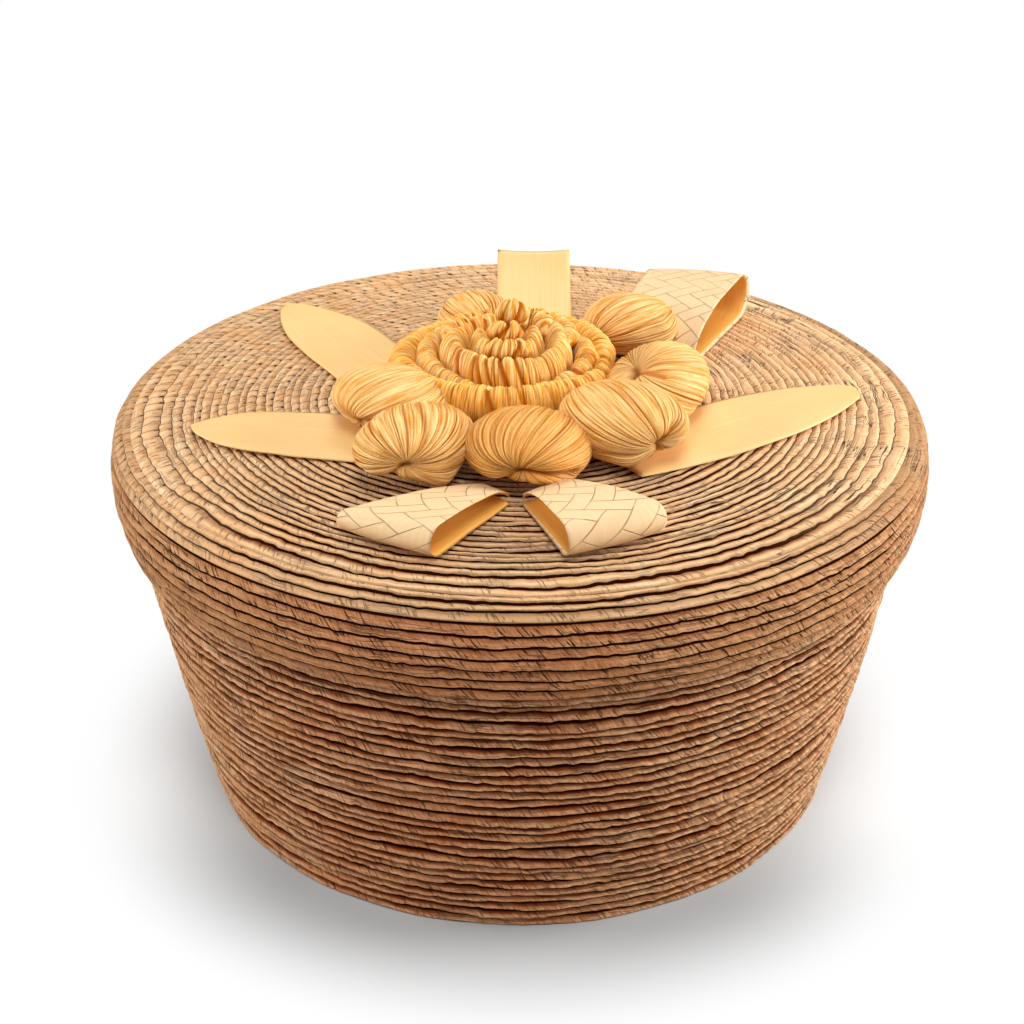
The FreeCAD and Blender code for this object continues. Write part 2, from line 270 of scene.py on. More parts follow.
def object_place(tree):
    """The place on the object, in metres."""
    return take(tree, "TexCoord", output="Object")


def strand_map(tree):
    """The strand map's two coordinates."""
    return parts_of(tree, take(tree, "UVMap", uv_map="strand"))[:2]


def noise(tree, place, scale=1.0, detail=2.0, roughness=0.5, dimensions="3D"):
    """A smooth uneven value round 0.5."""
    look = {"Vector": place, "Scale": scale, "Detail": detail, "Roughness": roughness}
    return take(tree, "TexNoise", look, noise_dimensions=dimensions)


def new_group(name, inputs, outputs):
    """An empty node group: its tree, the values given to it and the sockets of what it puts out."""
    tree = bpy.data.node_groups.new(name, "ShaderNodeTree")
    for socket, value in inputs.items():
        kind = "NodeSocketColor" if isinstance(value, tuple) else "NodeSocketFloat"
        tree.interface.new_socket(socket, in_out="INPUT", socket_type=kind).default_value = value
    for socket, kind in outputs.items():
        tree.interface.new_socket(socket, in_out="OUTPUT", socket_type="NodeSocket" + kind)
    given = {socket.name: Value(socket) for socket in tree.nodes.new("NodeGroupInput").outputs}
    return tree, given, tree.nodes.new("NodeGroupOutput").inputs


def plaited_palm():
    """Rows of braid. Strands with fine slanting fibres run across each row, with seams and pits where
    the plaiting shows. A row has a painted highlight at its lip, painted shade where it goes under the
    next one and painted dark shade in the tuck, and the dry palm splits along it."""
    tree, given, made = new_group(
        "plaited_palm",
        {"Light": (0.8, 0.5, 0.3, 1), "Dark": (0.4, 0.2, 0.1, 1), "Deep": (0.03, 0.01, 0.0, 1),
         "Brown": (0.2, 0.032, 0.0, 1), "Lip Highlight": (1.0, 0.7, 0.45, 1), "Slant": 0.6, "Plait": 1.0,
         "Seam": 0.5, "Pits": 0.3, "Lip": 0.4, "Shade": 0.5, "Tuck": 1.0, "Tuck Width": 0.2,
         "Tuck Fade": 0.5, "Riser": 0.045, "Under Shade": 0.0, "Fibres": 1.0, "Marks": 0.6, "Splits": 0.5,
         "Grit": 0.6, "Puff": 2.0},
        {"Color": "Color", "Height": "Float", "Bare": "Float"})
    run, row_place = strand_map(tree)
    across, row = row_place.calc("FRACT"), row_place.calc("FLOOR")
    strand = run + across * given["Slant"]
    number = vector(tree, strand.calc("FLOOR"), row)
    random = take(tree, "TexWhiteNoise", {"Vector": number}, "Value", noise_dimensions="2D")

    def streaks(place, scale, row_scale, detail=2.0):
        """Noise drawn out along or across the rows."""
        return noise(tree, vector(tree, place * scale, row_place * row_scale), detail=detail,
                     roughness=0.6, dimensions="2D")

    fibre = streaks(strand, 8.0, 1.7, 3.0)
    mark = streaks(strand, 6.0, 0.9)
    where = streaks(run, 0.55, 0.45)
    along = streaks(run, 0.4, 3.1)
    slow = streaks(run, 0.2, 0.7)
    grain = streaks(run, 0.13, 2.3, 1.0)
    patch = noise(tree, object_place(tree), 55.0)
    grit = noise(tree, object_place(tree), 2000.0, detail=1.0)

    # Colour: strands, fibres and patches, a painted highlight at the lip and painted brown shade towards
    # the tuck
    tone = (random - 0.5) * given["Plait"] * 0.4 + 0.55
    for part, share in ((fibre, given["Fibres"]), (along, 0.85), (patch, 0.9), (grit, given["Grit"])):
        tone = tone + (part - 0.5) * share
    colour = tint(tree, tone, given["Dark"], given["Light"])
    lip = across.ease(0.02, 0.05) * across.ease(0.2, 0.07) * given["Lip"] * fibre.ease(0.3, 0.55)
    colour = tint(tree, lip, colour, given["Lip Highlight"])
    inside = 1.0 - given["Tuck Width"]
    shade = across.ease(0.22, inside) * slow.calc("MULTIPLY_ADD", 2.4, -0.3, clamp=True)
    colour = tint(tree, shade * given["Shade"], colour, given["Brown"])

    # Dents: seams between strands, pits at their corners, short strokes and long splits
    edge = strand.calc("PINGPONG", 0.5)
    seam = edge.ease(0.09, 0.015) * where.ease(0.36, 0.56) * given["Plait"]
    near_corner = either(edge * 1.2, abs((across - inside) * 0.7))
    pit = near_corner.ease(0.22, 0.1) * random.calc("GREATER_THAN", 0.5) * where.ease(0.4, 0.56)
    stroke = mark.ease(0.55, 0.66) * where.ease(0.62, 0.42)
    split = abs(grain - 0.5).ease(0.03, 0.008) * patch.ease(0.46, 0.62)
    dent = either(seam * given["Seam"], pit * given["Plait"] * given["Pits"],
                  stroke * given["Marks"], split * given["Splits"])

    # Painted dark shade: the tuck under the next row, the riser at the lip and the side of the row next
    # to its lip. It joins the real dents in one dark mask.
    riser = (where * 2.6 - 0.3) * given["Riser"]
    tuck = ((across - inside) / given["Tuck Width"]).ease(0.0, given["Tuck Fade"])
    tuck = either(tuck, across.ease(riser * 1.8, riser)) * given["Tuck"]
    under = across.ease(0.3, 0.04) * given["Under Shade"]
    dark = either(dent, under).calc("MAXIMUM", tuck, clamp=True)
    feed(made["Color"], tint(tree, dark, colour, given["Deep"]))
    feed(made["Bare"], 1.0 - dark)
    puffed = edge.ease(0.0, 0.35) * given["Plait"] * given["Puff"]
    feed(made["Height"], fibre * 0.6 - dent + puffed + along * 0.8 + grit * 0.3)
    return tree


def new_material(name, roughness, specular=0.35):
    """A material, its tree and its Principled BSDF."""
    material = bpy.data.materials.new(name)
    material.use_nodes = True
    tree = material.node_tree
    shader = tree.nodes["Principled BSDF"]
    shader.inputs["Roughness"].default_value = roughness
    shader.inputs["Specular IOR Level"].default_value = specular
    return material, tree, shader


def relief(tree, shader, height, depth):
    """Feeds a bump of this depth, in millimetres, to the shader's normal."""
    bump = take(tree, "Bump", {"Height": height, "Distance": depth * MM, "Strength": 1.0})
    feed(shader.inputs["Normal"], bump)


PALM_GROUP = plaited_palm()
BRAID_RELIEF = 0.5
SHADE_TINT_MIDDLE = -0.014            # metres
UNCHANGED = (1, 1, 1, 1)


def dress_braid(tree, shader, group, specular, span, middle=UNCHANGED, sides=UNCHANGED):
    """Feeds the braid's colour and relief to the shader. middle and sides are painted shade: tints of
    the palm at the basket's middle and at its two sides, and span is where, across, the one goes over to
    the other. The dark tucks between rows have no sheen."""
    x = parts_of(tree, object_place(tree))[0]
    tone = tint(tree, abs(x - SHADE_TINT_MIDDLE).ease(*span), middle, sides)
    feed(shader.inputs["Base Color"], tint(tree, 1.0, group.outputs["Color"], tone, "MULTIPLY"))
    feed(shader.inputs["Specular IOR Level"], Value(group.outputs["Bare"]) * specular)
    relief(tree, shader, group.outputs["Height"], BRAID_RELIEF)


def braid_material(name, middle, **values):
    """Braid that is alike all round, apart from a painted shade tint at the basket's middle."""
    material, tree, shader = new_material(name, roughness=0.75)
    group = add(tree, "Group", values, node_tree=PALM_GROUP)
    dress_braid(tree, shader, group, specular=0.12, span=(0.015, 0.085), middle=middle)
    return material


def fit(piece, slot, body, node, *materials):
    """Gives a piece its materials, hangs it on its body and puts it in its node's place. slot is not
    used.
    """
    for material in materials:
        piece.data.materials.append(material)
    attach(piece, body)
    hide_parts(node)


def straight(start, end, rows):
    """Row edges along a straight line of (radius, height)."""
    return np.linspace(start, end, rows + 1)


# Shapes across a row, as (share of the row from its lip, share of its step that stands proud)
ROUND_ROW = ((0.0, 0.0), (0.03, 0.5), (0.14, 0.86), (0.38, 1.0), (0.7, 0.75), (0.93, 0.2))
LAPPED_ROW = ((0.0, 0.0), (0.03, 0.8), (0.13, 1.0), (0.5, 0.66), (0.86, 0.2))
FLAT_ROW = ((0.0, 0.0), (0.03, 0.74), (0.13, 1.0), (0.5, 0.86), (0.86, 0.5))
EDGE_ROW = ((0.0, 0.0), (0.03, 0.6), (0.12, 0.95), (0.25, 1.0), (0.6, 0.62), (0.93, 0.15))
INNER_ROW = ((0.0, 0.3), (0.5, 1.0))
SMOOTH_ROW = ((0.0, 1.0),)

floor_low, floor_high = reach("bowl_floor")
floor_radius = floor_high[0]
floor_rows = 27
# The wall's lips carry a painted highlight, and painted shade darkens each row towards its tuck and
# riser. The middle tint is painted shade, a deeper, redder tone at the basket's middle.
wall_colours = {"Light": (1.0, 0.62, 0.33, 1), "Dark": (0.60, 0.22, 0.064, 1),
                "Deep": (0.035, 0.005, 0.0, 1), "Lip Highlight": (1.0, 0.70, 0.42, 1), "Slant": 0.7,
                "Plait": 0.25, "Seam": 0.5, "Pits": 0.3, "Lip": 1.0, "Shade": 0.95, "Tuck Width": 0.45,
                "Tuck Fade": 0.35, "Riser": 0.06, "Fibres": 1.7, "Marks": 0.7, "Splits": 0.6}
wall_braid = braid_material("wall_braid", middle=(1.04, 0.90, 0.88, 1), **wall_colours)
floor_disc = braid_ring(
    "basket_floor",
    [(straight((floor_radius, floor_high[2]), (0, floor_high[2]), floor_rows), INNER_ROW, 0.7, 11, {}),
     (straight((0, floor_low[2]), (floor_radius, floor_low[2]), 4), SMOOTH_ROW, 0.0, 12, {})],
    columns=420, sheets=4)
fit(floor_disc, "basket_braid", "basket", "bowl_floor", wall_braid)

# ------------------------------------------------------------------------------
# Basket wall
# The same braid carried on up from the floor in 28 lapped rows, each row's lower edge over the row
# below. It is sewn in two lengths, one over the other, and it flares out to the shoulder.

wall_rows = 28
wall_step = 1.7
wall_bow = 1.0                       # how far the wall bellies out
wall_high = reach("bowl_wall")[1]
wall_foot = (floor_radius + BRAID + SEAM, 0.0)
wall_top = (wall_high[0], wall_high[2])


def arc(start, middle, end, steps):
    """Points at even turns along the circle through three points."""
    (ax, ay), (bx, by), (cx, cy) = start, middle, end
    d = 2 * (ax * (by - cy) + bx * (cy - ay) + cx * (ay - by))
    a2, b2, c2 = ax * ax + ay * ay, bx * bx + by * by, cx * cx + cy * cy
    x = (a2 * (by - cy) + b2 * (cy - ay) + c2 * (ay - by)) / d
    y = (a2 * (cx - bx) + b2 * (ax - cx) + c2 * (bx - ax)) / d
    first = math.atan2(ay - y, ax - x)
    sweep = (math.atan2(cy - y, cx - x) - first + math.pi) % (2 * math.pi) - math.pi
    turn = first + sweep * np.linspace(0, 1, steps + 1)
    radius = math.hypot(ax - x, ay - y)
    return np.stack([x + radius * np.cos(turn), y + radius * np.sin(turn)], axis=1)


def uneven_rows(edges, rng, amount):
    """Row edges moved a little along their line, so that no two rows are quite as wide."""
    rows = len(edges) - 1
    place = np.arange(rows + 1) + np.concatenate([[0], rng.uniform(-amount, amount, rows - 1), [0]])
    return points_at(place, edges)


def inset(edges, thickness):
    """The inside of a shell, from its top down."""
    return edges[::-1] - np.array([thickness, 0])


wall_middle = ((wall_foot[0] + wall_top[0]) / 2 + wall_bow, wall_top[1] / 2)
wall_edges = arc(wall_foot, wall_middle, wall_top, wall_rows)
wall_edges = uneven_rows(wall_edges, np.random.default_rng(5), 0.16)
half = wall_rows // 2
for name, edges, seed in (("basket_wall_lower", wall_edges[:half + 1], 21),
                          ("basket_wall_upper", wall_edges[half:], 22)):
    ring = braid_ring(
        name,
        [(edges, LAPPED_ROW, wall_step, seed, {"wander": 0.3, "uneven": 0.28}),
         (inset(edges, BRAID), INNER_ROW, 0.6, seed + 20, {})],
        columns=900, sheets=5)
    fit(ring, "basket_braid", "basket", "bowl_wall", wall_braid)

# ------------------------------------------------------------------------------
# Neck
# Eight finer rows of braid sewn inside the top of the wall. They stand up inside the lid and keep it
# from sliding off. Hidden while the lid is on.

neck_low, neck_high = reach("bowl_neck")
neck_rows = 8
neck_braid = 2.6                     # thickness
neck_edges = straight((neck_high[0], neck_low[2]), (neck_high[0], neck_high[2]), neck_rows)
neck = braid_ring(
    "basket_neck",
    [(neck_edges, ROUND_ROW, 0.6, 51, {"wander": 0.15}),
     (inset(neck_edges, neck_braid), INNER_ROW, 0.6, 52, {})],
    columns=800, sheets=9)
fit(neck, "basket_braid", "basket", "bowl_neck", wall_braid)

# ------------------------------------------------------------------------------
# Lid crown
# A shallow dome of rounded braid rows, each row's outer edge lying over the next row out. The rim of
# the crown is where the skirt turns down.

crown_high = reach("lid_crown")[1]
skirt_low, skirt_high = reach("lid_skirt")
crown_radius = crown_high[0] + SEAM
dome_top, dome_edge = crown_high[2], skirt_high[2]
dome_rise = dome_top - dome_edge
dome_sphere = (crown_radius ** 2 + dome_rise ** 2) / (2 * dome_rise)


def dome(radius):
    """Height of the crown's row edges at this distance from the axis."""
    return dome_top - dome_sphere + np.sqrt(dome_sphere ** 2 - np.minimum(radius, crown_radius) ** 2)


def dome_line(start, end, rows, drop=0.0):
    """Row edges from one radius to another on the dome, or this far under it."""
    radii = np.linspace(start, end, rows + 1)
    return np.stack([radii, dome(radii) - drop], axis=1)


covered = 34.0                       # the flower hides the crown inside this radius
rim_rows = (4.3, 4.4, 3.8, 3.3)      # the outermost rows are wider than the rest
rim_lap, rim_drop = 0.9, 0.6         # the first of them laps over the edge and down
inner_rows = 25
middle_row = 14                      # where the crown's two lengths of braid meet
# The crown's lips carry a painted highlight. Its painted shade is set in crown_material.
lid_colours = {"Light": (0.98, 0.69, 0.40, 1), "Dark": (0.84, 0.42, 0.16, 1),
               "Deep": (0.035, 0.005, 0.0, 1), "Lip Highlight": (1.0, 0.72, 0.44, 1), "Slant": 0.45,
               "Seam": 0.5, "Pits": 0.9, "Lip": 0.3, "Marks": 0.6, "Grit": 0.35, "Puff": 1.3}


def crown_material(name, colours, shade, sides=UNCHANGED):
    """The plaiting shows at the back and left of the crown, the front is worn to smooth cords and the
    right lies nearly flat. The painted shade of the rows is heaviest in front."""
    material, tree, shader = new_material(name, roughness=0.72)
    group = add(tree, "Group", colours, node_tree=PALM_GROUP)
    x, y = parts_of(tree, object_place(tree))[:2]
    plait = (x * -0.8 + y * 0.6).ease(-0.005, 0.055)
    right = x * 0.9 + y * 0.5
    flat = right.ease(0.01, 0.08) * (1.0 - plait)
    torn = right.ease(-0.03, 0.02) * (1.0 - plait)
    # value in front, and what the plaiting and the flat right side add to it. All but the fibres
    # are painted shade.
    for socket, front, plaited, right_side in (
            ("Tuck", 1.0, -0.2, -0.3), ("Riser", 0.042, -0.028, -0.028),
            ("Tuck Width", 0.18, -0.1, -0.1), ("Under Shade", 0.5, -0.45, -0.45),
            ("Fibres", 0.4, 1.0, 0.6), ("Shade", shade, -shade * 0.62, -shade * 0.65)):
        feed(group.inputs[socket], plait * plaited + flat * right_side + front)
    feed(group.inputs["Plait"], plait)
    feed(group.inputs["Splits"], torn * 0.5 + 0.4)
    dress_braid(tree, shader, group, specular=0.15, span=(0.075, 0.125), sides=sides)
    return material


def crown_relief(turns):
    """The rows stand out in front and lie nearly flat elsewhere."""
    x, y = np.cos(2 * math.pi * turns), np.sin(2 * math.pi * turns)
    worn = 0.65 * np.clip(0.45 - 0.8 * x + 0.6 * y, 0, 1) + 0.6 * np.clip(1.8 * x + y - 0.4, 0, 1)
    return 1 - np.minimum(worn, 0.68)


def under_crown(start, end):
    """The crown's smooth underside from one radius to another."""
    return dome_line(start, end, 4, BRAID), SMOOTH_ROW, 0.0, 33, {}


crown_braid = crown_material("crown_braid", lid_colours, shade=1.0)
rim_radii = crown_high[0] + rim_lap - np.cumsum((0,) + rim_rows)
crown_radii = np.concatenate([rim_radii[:-1], np.linspace(rim_radii[-1], covered, inner_rows + 1)])
crown_edges = np.stack([crown_radii, dome(crown_radii)], axis=1)
crown_edges[0, 1] -= rim_drop
crown_edges = uneven_rows(crown_edges, np.random.default_rng(8), 0.12)
rows_look = {"wander": 0.26, "uneven": 0.3, "strand_length": 5.0, "worn": crown_relief}
rim_ring = braid_ring(
    "lid_crown_outer_rows",
    [(crown_edges[:middle_row + 1], ROUND_ROW, 1.5, 31, rows_look),
     under_crown(crown_edges[middle_row, 0], crown_high[0])],
    columns=1000, sheets=5)
fit(rim_ring, "lid_braid", "lid", "lid_crown", crown_braid)
centre_disc = braid_ring(
    "lid_crown_inner_rows",
    [(crown_edges[middle_row:], ROUND_ROW, 1.25, 34, rows_look),
     (dome_line(covered, 0, 6), ((0.0, 1.0), (0.5, 1.0)), 1.0, 32, {}),
     under_crown(0, crown_edges[middle_row, 0])],
    columns=760, sheets=4)
fit(centre_disc, "lid_braid", "lid", "lid_crown", crown_braid)

# ------------------------------------------------------------------------------
# Lid skirt
# Three rows turn the rounded edge of the crown and seven lapped rows hang down from it, bellied out a
# little. The skirt slips over the neck and stops just above the shoulder.

lid_radius = skirt_high[0]
mouth_radius = lid_radius - 3.3                 # the skirt draws in at its mouth
widest_height = skirt_low[2] + 18.2             # where it is bellied out most
edge_radius = lid_radius - 0.6                  # where the rounded edge begins
edge_height = skirt_high[2] - 5.9
edge_width = edge_radius - crown_radius
skirt_rows, edge_rows = 7, 3


def round_edge(angles, inward):
    """Points round the lid's edge, or this far inside it, at these angles from the level."""
    return np.stack([crown_radius + (edge_width - inward) * np.cos(angles),
                     edge_height + (dome_edge - inward - edge_height) * np.sin(angles)], axis=1)


def edge_relief(turns):
    """The edge follows the crown, but less."""
    return 0.3 + 0.7 * crown_relief(turns)


# The skirt keeps the wall's painted highlight and painted shade, with its own painted shade tint at its
# middle.
skirt_colours = {**wall_colours, "Light": (0.865, 0.48, 0.23, 1), "Dark": (0.50, 0.20, 0.06, 1),
                 "Shade": 0.6, "Tuck Width": 0.26, "Marks": 0.9, "Plait": 0.2}
skirt_braid = braid_material("skirt_braid", middle=(1.08, 0.93, 0.91, 1), **skirt_colours)
skirt_line = arc((mouth_radius, skirt_low[2]), (lid_radius, widest_height), (edge_radius, edge_height),
                 skirt_rows)
skirt = braid_ring(
    "lid_skirt_rows",
    [(skirt_line, FLAT_ROW, 1.3, 41, {"wander": 0.2, "uneven": 0.28}),
     (inset(skirt_line, BRAID), INNER_ROW, 0.5, 42, {})],
    columns=1000, sheets=5)
fit(skirt, "lid_braid", "lid", "lid_skirt", skirt_braid)

edge_colours = {**lid_colours, "Light": (0.93, 0.60, 0.32, 1), "Dark": (0.80, 0.40, 0.16, 1)}
# The edge is darker at its two sides with painted shade.
edge_braid = crown_material("edge_braid", edge_colours, shade=0.4, sides=(0.64, 0.60, 0.57, 1))
edge_line = round_edge(np.linspace(0, math.pi / 2, edge_rows + 1)[1:], 0.0)
edge_line = np.concatenate([skirt_line[-1:], edge_line])
edge_inside = round_edge(np.linspace(math.pi / 2, 0, edge_rows + 2), BRAID)
edge = braid_ring(
    "lid_edge_rows",
    [(edge_line, EDGE_ROW, 1.7, 43, {"wander": 0.2, "uneven": 0.2, "worn": edge_relief}),
     (edge_inside, SMOOTH_ROW, 0.0, 44, {})],
    columns=1000, sheets=5)
fit(edge, "lid_braid", "lid", "lid_skirt", edge_braid)

# ------------------------------------------------------------------------------
# Flower backing and stitches
# A round of stiff palm fibre lies on the crown and carries the flower. Two thread staples go down
# through it and the crown and are tied off inside the lid.


def palm_fibre():
    """Split palm: fine fibres that run along the strand map's second coordinate, soft mottling, and
    painted shade down in the creases between gathers."""
    tree, given, made = new_group(
        "palm_fibre",
        {"Light": (0.9, 0.6, 0.25, 1), "Dark": (0.7, 0.4, 0.1, 1), "Deep": (0.5, 0.2, 0.02, 1),
         "Fibres": 2.0, "Length": 0.06, "Streaks": 0.8, "Mottling": 0.5, "Creases": 0.8},
        {"Color": "Color", "Height": "Float"})
    across, run = strand_map(tree)
    fine = noise(tree, vector(tree, across * given["Fibres"], run * given["Length"]), detail=3.0,
                 roughness=0.65, dimensions="2D")
    patch = noise(tree, object_place(tree), 60.0)
    tone = (fine - 0.5) * given["Streaks"] * 2.0 + 0.6 + (patch - 0.5) * given["Mottling"]
    colour = tint(tree, tone, given["Dark"], given["Light"])
    # Painted shade where the piece's crease mark is high.
    crease = take(tree, "Attribute", output="Fac", attribute_name="crease")
    crease = crease.calc("MULTIPLY", given["Creases"], clamp=True)
    feed(made["Color"], tint(tree, crease, colour, given["Deep"]))
    feed(made["Height"], fine - crease)
    return tree


FIBRE_GROUP = palm_fibre()


def dress_node(node, name, light, dark, scale, stretch):
    """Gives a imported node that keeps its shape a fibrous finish. It has no strand map, so the fibres
    are noise stretched one way."""
    material, tree, shader = new_material(name, roughness=0.7)
    stretched = take(tree, "Mapping", {"Vector": object_place(tree), "Scale": stretch})
    fibre = noise(tree, stretched, scale, detail=4.0)
    feed(shader.inputs["Base Color"], tint(tree, fibre.ease(0.35, 0.65), dark, light))
    relief(tree, shader, fibre, 0.2)
    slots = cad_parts[node].data.materials
    slots.clear()
    slots.append(material)


dress_node("flower_backing", "backing_fibre", (0.62, 0.38, 0.16, 1), (0.40, 0.22, 0.08, 1), 300.0,
           (1.0, 6.0, 1.0))
dress_node("flower_stitches", "linen_thread", (0.70, 0.58, 0.40, 1), (0.42, 0.31, 0.18, 1), 900.0,
           (1.0, 1.0, 5.0))

# ------------------------------------------------------------------------------
# Leaves
# Blades cut from wide palm leaf, laid flat on the crown with their roots under the petals. Smooth pale
# straw with fine fibres that run to the tip.

LEAF = 0.9          # thickness of a leaf or a ribbon
LAY_GAP = 0.3       # gap between pieces that lie on each other


def fibre_material(name, depth, specular, **values):
    """Split palm with its fibres along the piece."""
    material, tree, shader = new_material(name, roughness=0.42, specular=specular)
    group = add(tree, "Group", values, node_tree=FIBRE_GROUP)
    feed(shader.inputs["Base Color"], group.outputs["Color"])
    relief(tree, shader, group.outputs["Height"], depth)
    return material


leaf_straw = fibre_material("leaf_straw", depth=0.06, specular=0.4, Light=(0.95, 0.63, 0.27, 1),
                            Dark=(0.84, 0.50, 0.17, 1), Deep=(0.6, 0.3, 0.08, 1), Fibres=1.6,
                            Length=0.035, Streaks=0.5, Mottling=0.7, Creases=0.5)


def lid_height(points):
    """Height of the crown under these (x, y) points."""
    return dome(np.hypot(points[..., 0], points[..., 1]))


def blade_section(count):
    """Places across a blade, out over its top and back under it, and which of them are on top."""
    over = np.linspace(-1, 1, count)
    return np.concatenate([over, over[-2:0:-1]]), np.concatenate([np.ones(count), -np.ones(count - 2)])


def blade_skin(name, points, across, width, far):
    """A blade's mesh. Its fibres lie side by side across its width and run far along it."""
    fibre = np.concatenate([across, across[:1]]) * width / 2
    return skin(name, points, fibre, bands_of(far), loop=False)


def blade(name, root, tip, width, root_width, blunt, seed):
    """A flat leaf on the lid: straight root, curved sides, rounded tip."""
    rng = np.random.default_rng(seed)
    root, tip = np.array(root), np.array(tip)
    length = np.linalg.norm(tip - root)
    ahead = (tip - root) / length
    beside = np.array([-ahead[1], ahead[0]])
    # stations from root to tip, closer together where the tip rounds off
    share = np.concatenate([np.linspace(0, 0.93, 60), 1 - 0.07 * np.linspace(1, 0, 16)[1:] ** 2])
    stations = np.array([0, 0.35, 0.78, 1 - blunt / 3 / length])
    widths = np.array([root_width / 2, width / 2, 0.31 * width + 0.15 * blunt, blunt / 2])
    sides = np.polyval(np.polyfit(stations, widths, 3), share)
    round_tip = np.sqrt(np.clip(1 - (np.clip(share - stations[3], 0, 1) / (1 - stations[3])) ** 2, 0, 1))
    sides = sides * round_tip
    across, face = blade_section(25)
    thick = LEAF / 2 * (1 - across ** 6) ** 0.5 * face
    thick = thick * np.minimum(1, share * length / 0.5)[:, None]
    plan = (root + share[:, None, None] * length * ahead
            + (sides[:, None] * across)[..., None] * beside)
    curl = 0.5 * across ** 2 * np.sin(np.pi * share)[:, None] + 0.9 * share[:, None] ** 3
    wave = 0.25 * drift(rng, 7, share * 0.9)[:, None] * across
    height = lid_height(plan) + LAY_GAP + LEAF / 2 + curl + wave + thick
    points = np.concatenate([plan, height[..., None]], axis=-1)
    return blade_skin(name, points, across, width, share * length)


LEAVES = {
    # name: root, tip, width, width of the root, width of the blunt tip
    "leaf_front_left": ((-44, -34), (-98, -22), 29.0, 29.0, 11.0),
    "leaf_back_left": ((-41, 11), (-77, 75), 29.0, 29.0, 10.0),
    "leaf_right": ((28, -48.5), (103.5, 5), 31.0, 22.0, 12.0),
}
for number, (name, sizes) in enumerate(LEAVES.items()):
    leaf = blade(name + "_blade", *sizes, seed=60 + number)
    fit(leaf, "palm_leaf", "lid", name, leaf_straw)

# ------------------------------------------------------------------------------
# Rear strip
# A straight-cut strip of the same leaf that stands up behind the flower, held by its root under the
# rosette.

strip_low, strip_high = reach("leaf_rear")


def rear_strip():
    """The strip from its low root to its raised end, sagging between them and cupped towards the end."""
    width, length, high = strip_high - strip_low
    share = np.linspace(0, 1, 40)
    across, face = blade_section(21)
    y = strip_low[1] + share * length
    sag = 2.0 * (1 - (2 * share - 1) ** 2)
    z = strip_low[2] + LEAF / 2 + share * (high - LEAF) - sag
    ends = np.minimum(1, np.minimum(share, 1 - share) * 80)[:, None]
    thick = LEAF / 2 * (1 - across ** 8) ** 0.5 * face * ends
    x = (strip_low[0] + strip_high[0]) / 2 + width / 2 * across * (1 - 0.03 * share)[:, None]
    cup = 0.7 * across ** 2 * share[:, None]
    points = np.stack([x, np.broadcast_to(y[:, None], x.shape), z[:, None] + cup + thick], axis=-1)
    return blade_skin("leaf_rear_strip", points, across, width, share * length)


fit(rear_strip(), "palm_leaf", "lid", "leaf_rear", leaf_straw)

# ------------------------------------------------------------------------------
# Bow loops
# A wide ribbon plaited from flat palm strips, each over two and under two. It is folded over on itself
# and pinched at the root under the petals, with the smooth golden side inside.


def twill():
    """Edges of flat strips plaited over two and under two, on the slant."""
    tree, given, made = new_group(
        "twill", {"Strip": 5.4, "Line": 0.038, "Slant": 0.12}, {"Line": "Float", "Shade": "Float"})
    across, run = strand_map(tree)
    run = run + across * given["Slant"]
    wide = given["Strip"] * math.sqrt(2)
    one, other = (across + run) / wide, (across - run) / wide

    def over(i, j):
        """1 where strip i lies over strip j."""
        step = i - j
        return (step - (step / 4.0).calc("FLOOR") * 4.0).calc("LESS_THAN", 1.5)

    i, j = one.calc("FLOOR"), other.calc("FLOOR")
    here = over(i, j)
    edges = []
    for place, whole, other_whole, first in ((one, i, j, True), (other, j, i, False)):
        inside = place - whole
        for side in (-1.0, 1.0):
            gap = inside if side < 0 else 1.0 - inside
            next_one = whole + side
            there = over(next_one, other_whole) if first else over(other_whole, next_one)
            hidden = (1.0 - here) * (1.0 - there) if first else here * there
            edges.append(gap.ease(given["Line"], 0.0) * (1.0 - hidden))
    feed(made["Line"], either(*edges))
    pair = vector(tree, i * here, j * (1.0 - here), here)
    feed(made["Shade"], take(tree, "TexWhiteNoise", {"Vector": pair}, "Value", noise_dimensions="3D"))
    return tree


TWILL_GROUP = twill()


def ribbon_material(name, light, dark, plaited):
    """Smooth palm, with the edges and tones of the plaited strips on the side that shows them."""
    material, tree, shader = new_material(name, roughness=0.5)
    fibres = add(tree, "Group", {"Light": light, "Dark": dark, "Fibres": 1.5, "Length": 0.05,
                                 "Streaks": 0.5, "Mottling": 0.5, "Creases": 0.0},
                 node_tree=FIBRE_GROUP)
    colour, height, depth = fibres.outputs["Color"], Value(fibres.outputs["Height"]), 0.08
    if plaited:
        strips = add(tree, "Group", node_tree=TWILL_GROUP)
        line = Value(strips.outputs["Line"])
        worn = noise(tree, object_place(tree), 110.0).ease(0.42, 0.56)
        colour = tint(tree, Value(strips.outputs["Shade"]) * 0.35, colour, dark)
        colour = tint(tree, line * worn * 0.7, colour, (0.42, 0.20, 0.05, 1))
        height, depth = height * 0.15 - line, 0.35
    feed(shader.inputs["Base Color"], colour)
    relief(tree, shader, height, depth)
    return material


ribbon_outside = ribbon_material("ribbon_outside", (0.91, 0.65, 0.37, 1), (0.82, 0.53, 0.26, 1), True)
ribbon_inside = ribbon_material("ribbon_inside", (0.90, 0.49, 0.11, 1), (0.72, 0.33, 0.04, 1), False)
LOOP_REST = 0.5                                            # gap between ribbon and crown
FOLD_START, FOLD_LENGTH, FOLD_END = 0.42, 0.16, 0.58       # as shares of the ribbon's length


